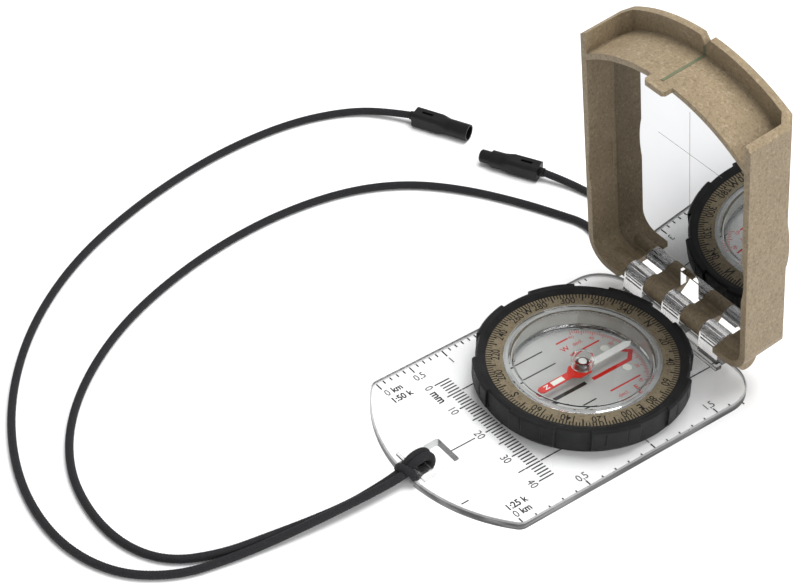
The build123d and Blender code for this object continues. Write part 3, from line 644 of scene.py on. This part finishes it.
def needle_paint():
    """Red towards the pointing end and white beyond the hub, with a hint of orange peel."""
    s = Surface("needle_paint", coat_weight=0.15, coat_roughness=0.1, specular_ior_level=0.25)
    split = s.add("ShaderNodeSeparateXYZ")
    s.join(s.place, split.inputs[0])
    past_hub = s.maths("MULTIPLY_ADD", split.outputs["Y"], 1 / MM, -NEEDLE_WHITE_FROM)
    white = s.ramp(past_hub, (0.0, 0.0), (1.0, 1.0))
    tone = s.noise(0.002, 3.0)
    red = s.between(tone, (0.50, 0.012, 0.008), (0.57, 0.018, 0.011))
    pale = s.between(tone, (0.68, 0.68, 0.66), (0.74, 0.74, 0.73))
    s.colour(s.mix(white, red, pale))
    s.roughness(tone, 0.28, 0.4)
    s.normal(s.bump(s.noise(0.0007, 2.0), 0.000008, 0.3, s.rounded(0.00008)))
    return s.material


def ink(name, colour):
    """Screen-printed ink with slightly uneven cover."""
    s = Surface(name, specular_ior_level=0.15)
    thin = tuple(min(1.0, c * 1.3 + 0.004) for c in colour)
    s.colour(s.ramp(s.noise(0.0005, 3.0), (0.35, colour), (0.7, thin)))
    s.roughness(s.noise(0.0008, 3.0), 0.5, 0.65)
    s.normal(s.bump(s.noise(0.0003, 2.0), 0.000004, 0.3))
    return s.material


def glow_paint():
    """Pale green-white luminous paint with a granular face."""
    s = Surface("luminous", specular_ior_level=0.3)
    grain = s.noise(0.00025, 3.0)
    s.colour(s.between(grain, (0.66, 0.69, 0.62), (0.78, 0.80, 0.74)))
    s.roughness(grain, 0.6, 0.8)
    s.normal(s.bump(grain, 0.00003, 0.6))
    return s.material


def disc_plastic():
    """The pale printed disc under the needle."""
    s = Surface("disc_grey", specular_ior_level=0.3)
    s.colour(s.between(s.noise(0.006, 4.0), (0.44, 0.44, 0.43), (0.49, 0.49, 0.48)))
    s.roughness(s.noise(0.0008, 3.0), 0.42, 0.55)
    s.normal(s.bump(s.noise(0.0004, 2.0), 0.000008, 0.3))
    return s.material


MATERIALS = {
    "clear_acrylic": plate_acrylic(),
    "clear_capsule": clear_plastic("clear_capsule", (0.99, 0.993, 0.99), 0.000002),
    "sapphire": clear_plastic("sapphire", (0.9, 0.9, 0.95), 0.000001, SAPPHIRE_IOR),
    "spring_steel": steel("spring_steel", (0.50, 0.50, 0.51), 0.2, 0.35),
    "pin_steel": steel("pin_steel", (0.55, 0.55, 0.56), 0.16, 0.3, (0.1, 1, 1)),
    # The hub's steel is dark of itself, and is made darker still as a painted shade for the shadow under the hub.
    "hub_steel": steel("hub_steel", (0.11, 0.11, 0.115), 0.25, 0.4, (1, 1, 0.15)),
    "lanyard_cord": braid(),
    "connector_plastic": plastic(
        "connector_plastic", (0.006, 0.006, 0.0065), (0.010, 0.010, 0.0105), 0.35, 0.5, shine=0.25),
    "tan_composite": tan_composite(),
    "mirror": mirror_glass(),
    "tape": plastic("tape", (0.60, 0.60, 0.58), (0.70, 0.70, 0.68), 0.7, 0.85, 0.0004, 0.00005),
    "sight_green": plastic("sight_green", (0.105, 0.12, 0.07), (0.14, 0.155, 0.095), 0.45, 0.6),
    "grip_black": dark_grip(),
    "tan_dial": dial_tan(),
    "collar_grey": plastic("collar_grey", (0.40, 0.395, 0.36), (0.47, 0.465, 0.43), 0.3, 0.45),
    "seal_rubber": plastic("seal_rubber", (0.32, 0.32, 0.32), (0.40, 0.40, 0.40), 0.6, 0.8),
    "disc_grey": disc_plastic(),
    "luminous": glow_paint(),
    "needle_paint": needle_paint(),
    "white_plastic": plastic("white_plastic", (0.62, 0.62, 0.61), (0.70, 0.70, 0.69), 0.2, 0.3),
}
BLACK_INK = ink("black_ink", (0.009, 0.009, 0.009))
RED_INK = ink("red_ink", (0.47, 0.014, 0.010))
WHITE_INK = ink("white_ink", (0.66, 0.66, 0.64))
GREY_INK = ink("grey_ink", (0.14, 0.14, 0.14))

for part in frame["record"]["subparts"]:
    node = nodes[part["node"]]
    node.data.materials.clear()
    node.data.materials.append(MATERIALS[part["material_slot"]])

# ------------------------------------------------------------------ lanyard


def lanyard():
    """The two strands, from the hitch to the two halves of the connector."""
    outer_end = ["socket_connector", "cord_ferrules"]
    inner_end = ["plug_connector"]
    strands = (
        ("lanyard_braid_outer", OUTER_ROUTE, OUTER_LENGTH, "lanyard_outer", outer_end),
        ("lanyard_braid_inner", INNER_ROUTE, INNER_LENGTH, "lanyard_inner", inner_end),
    )
    for name, route, length, node, on_it in strands:
        points = list(reversed(line_of(route)))
        tube = braided_cord(points, CORD_DIAMETER / 2)
        cord = new_piece(name, tube, "baseplate", MATERIALS["lanyard_cord"])
        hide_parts(node)


def hitch_line():
    """The whole hitch as one line, from the right strand through the bight to the left strand."""
    right = [Vector(p) for p in HITCH_ROUTE]
    left = [Vector((-p.x, p.y, p.z)) for p in reversed(right[2:])]
    route = right + [Vector(HITCH_BIGHT)] + left + [Vector(p) for p in HITCH_LEFT_END]
    for p in route[BIGHT_FIRST:-BIGHT_FIRST]:
        p.y += BIGHT_SLANT * p.x
        p.z += BIGHT_TILT * p.x
        p.x += BIGHT_SHIFT
    return line_of(route)


def pressed(place):
    """Cord flattened between the floor and the bridge."""
    if BRIDGE_SPAN_Y[0] < place.y < BRIDGE_SPAN_Y[1] and place.z < BRIDGE_TOP_Z:
        place.z = min(place.z, BRIDGE_RELIEF_Z)
    place.z = max(place.z, FLOOR_CLEARANCE)
    return place


def hitch():
    """The hitch that holds both strands to the plate's bridge."""
    tube = braided_cord(hitch_line(), CORD_DIAMETER / 2, pressed)
    knot = new_piece("lanyard_knot", tube, "baseplate", MATERIALS["lanyard_cord"])
    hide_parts("lanyard_hitch")


lanyard()
hitch()

# ------------------------------------------------------------------ prints on the plate

# The prints' measures are in millimetres, and a letter's weight is a share of its size.
PLATE_PRINT_Z = 0.02
PLATE_EDGE_X = 28.78
RULE_START_X = -20.0
RULE_TOP = -25.2
RULE_SHORT = -28.6
RULE_LONG = -29.6
RULE_HALF_WIDTH = 0.17
RULE_FIGURE_Y = -31.25
MAP_START_Y = -40.7
MAP_HALF_WIDTH = 0.18
LEFT_SHORT = -27.7
LEFT_LONG = -26.6
RIGHT_SHORT = 27.3
RIGHT_LONG = 26.3
LEFT_FIGURE_X = -24.85
RIGHT_FIGURE_X = 24.8
LINE_HALF_WIDTH = 0.15
GUIDE_X = 15
GUIDE_FOOT = -25.0
GUIDE_TOP = 31.0
FIGURE_CAP = 2.1
UNIT_CAP = 1.9
CONDENSED = 0.86
BOLD = 0.022
FINE = -0.004


def plate_ticks():
    """The millimetre scale, the two map scales and the long guide lines."""
    bm = bmesh.new()
    for i in range(41):
        x = RULE_START_X + i
        low = RULE_LONG if i % 5 == 0 else RULE_SHORT
        mm_bar(bm, x - RULE_HALF_WIDTH, x + RULE_HALF_WIDTH, low, RULE_TOP, PLATE_PRINT_Z)
    for i in range(34):
        y = MAP_START_Y + 2 * i
        inner = LEFT_LONG if i % 5 == 0 else LEFT_SHORT
        mm_bar(bm, -PLATE_EDGE_X, inner, y - MAP_HALF_WIDTH, y + MAP_HALF_WIDTH, PLATE_PRINT_Z)
    for i in range(18):
        y = MAP_START_Y + 4 * i
        inner = RIGHT_LONG if i % 5 == 0 else RIGHT_SHORT
        mm_bar(bm, inner, PLATE_EDGE_X, y - MAP_HALF_WIDTH, y + MAP_HALF_WIDTH, PLATE_PRINT_Z)
    guide_lines = (
        (-GUIDE_X, GUIDE_FOOT, GUIDE_TOP),
        (GUIDE_X, GUIDE_FOOT, GUIDE_TOP),
        (GUIDE_X, -48.5, -46.4),
        (GUIDE_X, -31.7, -29.8),
        (0.0, GUIDE_FOOT, -20.2),
        (0.0, -40.5, -32.8),
    )
    for x, low, top in guide_lines:
        mm_bar(bm, x - LINE_HALF_WIDTH, x + LINE_HALF_WIDTH, low, top, PLATE_PRINT_Z)
    new_piece("plate_scales", bm, "baseplate", BLACK_INK, smooth=False)


def plate_figures():
    """The figures of the three scales and the names of the units."""
    bm = bmesh.new()

    def write(text, x, y, turn=0.0, cap=FIGURE_CAP, weight=FINE):
        letter(bm, text, cap, at(x, y, PLATE_PRINT_Z, turn), weight, CONDENSED)

    for text, x in (("0", -20.1), ("10", -10.2), ("20", -0.2), ("30", 9.8), ("40", 19.7)):
        write(text, x, RULE_FIGURE_Y, cap=2.15)
    write("mm", -16.3, RULE_FIGURE_Y, cap=2.3, weight=BOLD)
    left = (("0,5", -30.6), ("1", -20.7), ("1,5", -10.7), ("2", -0.7), ("2,5", 9.3), ("3", 19.3))
    for text, y in left:
        write(text, LEFT_FIGURE_X, y, 90)
    for text, y in (("0,5", -20.7), ("1", -0.7), ("1,5", 19.3)):
        write(text, RIGHT_FIGURE_X, y, 90)
    for x in (LEFT_FIGURE_X, RIGHT_FIGURE_X):
        write("0", x, -40.3, 90)
        write("km", x, -37.5, 90, UNIT_CAP, BOLD)
    write("1:50 k", -21.8, -37.95, 90, UNIT_CAP, BOLD)
    write("1:25 k", 22.2, -37.95, 90, UNIT_CAP, BOLD)
    new_piece("plate_figures", welded(bm), "baseplate", BLACK_INK, smooth=False)


plate_ticks()
plate_figures()

# ------------------------------------------------------------------ prints on the dial

RING_PRINT_Z = 8.8
DISC_PRINT_Z = 2.0
PRINT_SINK = 0.01
QUARTERS = {0: "N", 90: "E", 180: "S", 270: "W"}
BEARINGS = sorted(set(range(20, 360, 20)) | set(QUARTERS))
RING_TICK_OUTER = 23.45
RING_TICK_INNER = 22.1
RING_TICK_LONG_INNER = 21.1
RING_TICK_HALF_WIDTH = 0.155
RING_TICK_LONG_HALF_WIDTH = 0.19
RING_FIGURE_RADIUS = 21.1
RING_FIGURE_WEIGHT = 0.006
RING_QUARTER_WEIGHT = 0.016


def clockwise(degrees):
    """A turn about the dial's axis, clockwise from +Y."""
    return Matrix.Rotation(-math.radians(degrees), 4, "Z")


def ring_ticks():
    """The degree scale, a line every two degrees and a longer one midway between two figures."""
    bm = bmesh.new()
    z = RING_PRINT_Z - PRINT_SINK
    for bearing in range(0, 360, 2):
        long = bearing % 20 == 10
        inner = RING_TICK_LONG_INNER if long else RING_TICK_INNER
        half = RING_TICK_LONG_HALF_WIDTH if long else RING_TICK_HALF_WIDTH
        mm_bar(bm, -half, half, inner, RING_TICK_OUTER, z, place=clockwise(bearing))
    new_piece("dial_ticks", bm, "dial", BLACK_INK, smooth=False)


def ring_figures():
    """The quarter letters and the figures, each standing at its own bearing."""
    bm = bmesh.new()
    for bearing in BEARINGS:
        text = QUARTERS.get(bearing, str(bearing))
        place = clockwise(bearing) @ at(0, RING_FIGURE_RADIUS, RING_PRINT_Z)
        weight = RING_QUARTER_WEIGHT if bearing in QUARTERS else RING_FIGURE_WEIGHT
        letter(bm, text, FIGURE_CAP, place, weight, CONDENSED)
    new_piece("dial_figures", welded(bm), "dial", BLACK_INK, smooth=False)


ARROW_OUTLINE = [
    (1.65, 1.75), (1.65, 13.3), (0.0, 15.0), (-1.65, 13.3), (-1.65, 1.75),
    (-2.75, 1.75), (-2.75, 13.9), (0.0, 16.6), (2.75, 13.9), (2.75, 1.75),
]
RED_MERIDIANS = ((-12.7, 2.5, 6.25), (-7.5, 2.75, 12.1), (8.0, 2.5, 12.0))
BLACK_MERIDIANS = (
    (-12.7, -10.75, -1.9), (-7.55, -12.1, -1.9), (7.9, -12.1, -1.9), (12.8, -10.75, -1.9),
)
RED_HALF_WIDTH = 0.25
BLACK_HALF_WIDTH = 0.2
TAIL_X = 2.2
TAIL_HALF_WIDTH = 0.55
DECLINATION_HALF_WIDTH = 0.09
DECLINATION_OUTER = 16.75
DECLINATION_INNER = 15.9
DECLINATION_LONG_INNER = 15.3
DECLINATION_FIGURE_RADIUS = 14.5


def disc_arrow():
    """The red orienting arrow, the red meridians and the declination scale."""
    bm = bmesh.new()
    z = DISC_PRINT_Z - PRINT_SINK
    low = [bm.verts.new((x * MM, y * MM, z * MM)) for x, y in ARROW_OUTLINE]
    top = (z + PRINT_THICKNESS) * MM
    high = [bm.verts.new((x * MM, y * MM, top)) for x, y in ARROW_OUTLINE]
    count = len(ARROW_OUTLINE)
    for i in range(count):
        n = (i + 1) % count
        bm.faces.new((low[i], low[n], high[n], high[i]))
    for i in range(4):
        for ring in (low, high):
            bm.faces.new((ring[i], ring[i + 1], ring[count - 2 - i], ring[count - 1 - i]))
    for x, y0, y1 in RED_MERIDIANS:
        mm_bar(bm, x - RED_HALF_WIDTH, x + RED_HALF_WIDTH, y0, y1, z)
    half = DECLINATION_HALF_WIDTH
    for i in range(-30, 31):
        inner = DECLINATION_LONG_INNER if i % 5 == 0 else DECLINATION_INNER
        mm_bar(bm, -half, half, inner, DECLINATION_OUTER, z, place=clockwise(2 * i))
    new_piece("disc_red_print", bm, "dial", RED_INK, smooth=False)


def disc_letters():
    """The declination figures and the words beside the red meridians."""
    bm = bmesh.new()
    for bearing in (20, 40, 60):
        for side in (-1, 1):
            place = clockwise(side * bearing) @ at(0, DECLINATION_FIGURE_RADIUS, DISC_PRINT_Z)
            letter(bm, str(bearing), 1.0, place)
    words = (
        ("W", 1.5, -10.1, 3.25, BOLD), ("decl.", 1.2, -10.1, 7.2, 0.0),
        ("E", 1.5, 10.6, 8.6, BOLD), ("decl.", 1.2, 10.5, 4.5, 0.0),
    )
    for text, cap, x, y, weight in words:
        letter(bm, text, cap, at(x, y, DISC_PRINT_Z, 90), weight)
    new_piece("disc_red_letters", welded(bm), "dial", RED_INK, smooth=False)


def disc_lines():
    """The arrow's black tail and the black halves of the meridians."""
    bm = bmesh.new()
    z = DISC_PRINT_Z - PRINT_SINK
    for x in (-TAIL_X, TAIL_X):
        mm_bar(bm, x - TAIL_HALF_WIDTH, x + TAIL_HALF_WIDTH, -10.5, -0.4, z)
    for x, y0, y1 in BLACK_MERIDIANS:
        mm_bar(bm, x - BLACK_HALF_WIDTH, x + BLACK_HALF_WIDTH, y0, y1, z)
    new_piece("disc_black_print", bm, "dial", BLACK_INK, smooth=False)


ring_ticks()
ring_figures()
disc_arrow()
disc_letters()
disc_lines()

# ------------------------------------------------------------------ needle letter and mirror lines

NEEDLE_TURN = 0.95
NEEDLE_TOP_Z = 5.05
NEEDLE_LETTER_Y = -11.2
NEEDLE_LETTER_CAP = 1.3
NEEDLE_LETTER_WEIGHT = 0.02


def needle_letter():
    """The white letter near the needle's red tip."""
    bm = bmesh.new()
    place = clockwise(-NEEDLE_TURN) @ at(0, NEEDLE_LETTER_Y, NEEDLE_TOP_Z, 180)
    letter(bm, "N", NEEDLE_LETTER_CAP, place, NEEDLE_LETTER_WEIGHT)
    new_piece("needle_letter", welded(bm), "needle", WHITE_INK, smooth=False)


# The mirror's lines, in millimetres in the lid's own frame, where y is the height above the hinge.
MIRROR_FACE = -3.45
MIRROR_LINE_THICKNESS = 0.02
MIRROR_LINE_HALF_WIDTH = 0.06
SIGHT_LINE_FOOT = 31
SIGHT_LINE_TOP = 61
CROSS_LINE_HEIGHT = 48
CROSS_LINE_REACH = 11
hinge = next(j for j in frame["joints"] if j["name"] == "lid_hinge")
lid_lean = math.radians(180 + hinge["range_deg"][0])
LID = Matrix.Translation(hinge["pos_m"]) @ Matrix.Rotation(lid_lean, 4, "X")


def mirror_lines():
    """The sighting line down the mirror and the short line across it."""
    bm = bmesh.new()
    z = MIRROR_FACE - PRINT_SINK
    half = MIRROR_LINE_HALF_WIDTH
    low = CROSS_LINE_HEIGHT - half
    high = CROSS_LINE_HEIGHT + half
    mm_bar(bm, -half, half, SIGHT_LINE_FOOT, SIGHT_LINE_TOP, z, MIRROR_LINE_THICKNESS, LID)
    mm_bar(bm, -CROSS_LINE_REACH, CROSS_LINE_REACH, low, high, z, MIRROR_LINE_THICKNESS, LID)
    new_piece("mirror_lines", bm, "lid", GREY_INK, smooth=False)


needle_letter()
mirror_lines()

# ------------------------------------------------------------------ floor and light

FLOOR_Z = -0.00005
FLOOR_HALF_SIZE = 3.0
SKY_STRENGTH = 0.52
LAMP_TARGET = (-0.02, -0.02, 0.0)

# Each lamp's name, place, width in metres and power in watts.
LAMPS = (
    ("key", (-0.04, 0.27, 0.98), 0.8, 12.0),
    ("fill", (0.85, 0.05, 0.55), 0.7, 4.5),
)


def studio_floor():
    """A plain pale floor just below the part."""
    bm = bmesh.new()
    corners = []
    for x, y in ((-1, -1), (1, -1), (1, 1), (-1, 1)):
        corners.append(bm.verts.new((x * FLOOR_HALF_SIZE, y * FLOOR_HALF_SIZE, FLOOR_Z)))
    bm.faces.new(corners)
    mesh = bpy.data.meshes.new("floor")
    bm.to_mesh(mesh)
    bm.free()
    s = Surface("floor", specular_ior_level=0.1, roughness=0.9)
    s.colour(s.between(s.noise(0.4, 2.0), (0.86, 0.86, 0.865), (0.865, 0.865, 0.87)))
    mesh.materials.append(s.material)
    floor = bpy.data.objects.new("floor", mesh)
    bpy.context.scene.collection.objects.link(floor)


def area_light(name, place, size, power):
    """A round lamp. It doesn't show in glossy reflections, so the prints stay readable."""
    data = bpy.data.lights.new(name, "AREA")
    data.shape = "DISK"
    data.size = size
    data.energy = power
    lamp = bpy.data.objects.new(name, data)
    lamp.location = place
    lamp.visible_glossy = False
    aim = Vector(LAMP_TARGET) - Vector(place)
    lamp.rotation_mode = "QUATERNION"
    lamp.rotation_quaternion = aim.to_track_quat("-Z", "Y")
    bpy.context.scene.collection.objects.link(lamp)


def studio():
    """A broad soft lamp almost overhead, a weak fill on the right and an even sky."""
    world = bpy.data.worlds.new("studio")
    world.use_nodes = True
    sky = world.node_tree.nodes["Background"]
    sky.inputs["Color"].default_value = (1.0, 1.0, 1.0, 1)
    sky.inputs["Strength"].default_value = SKY_STRENGTH
    bpy.context.scene.world = world
    for lamp in LAMPS:
        area_light(*lamp)


studio_floor()
studio()
bpy.context.scene.view_settings.view_transform = "Standard"
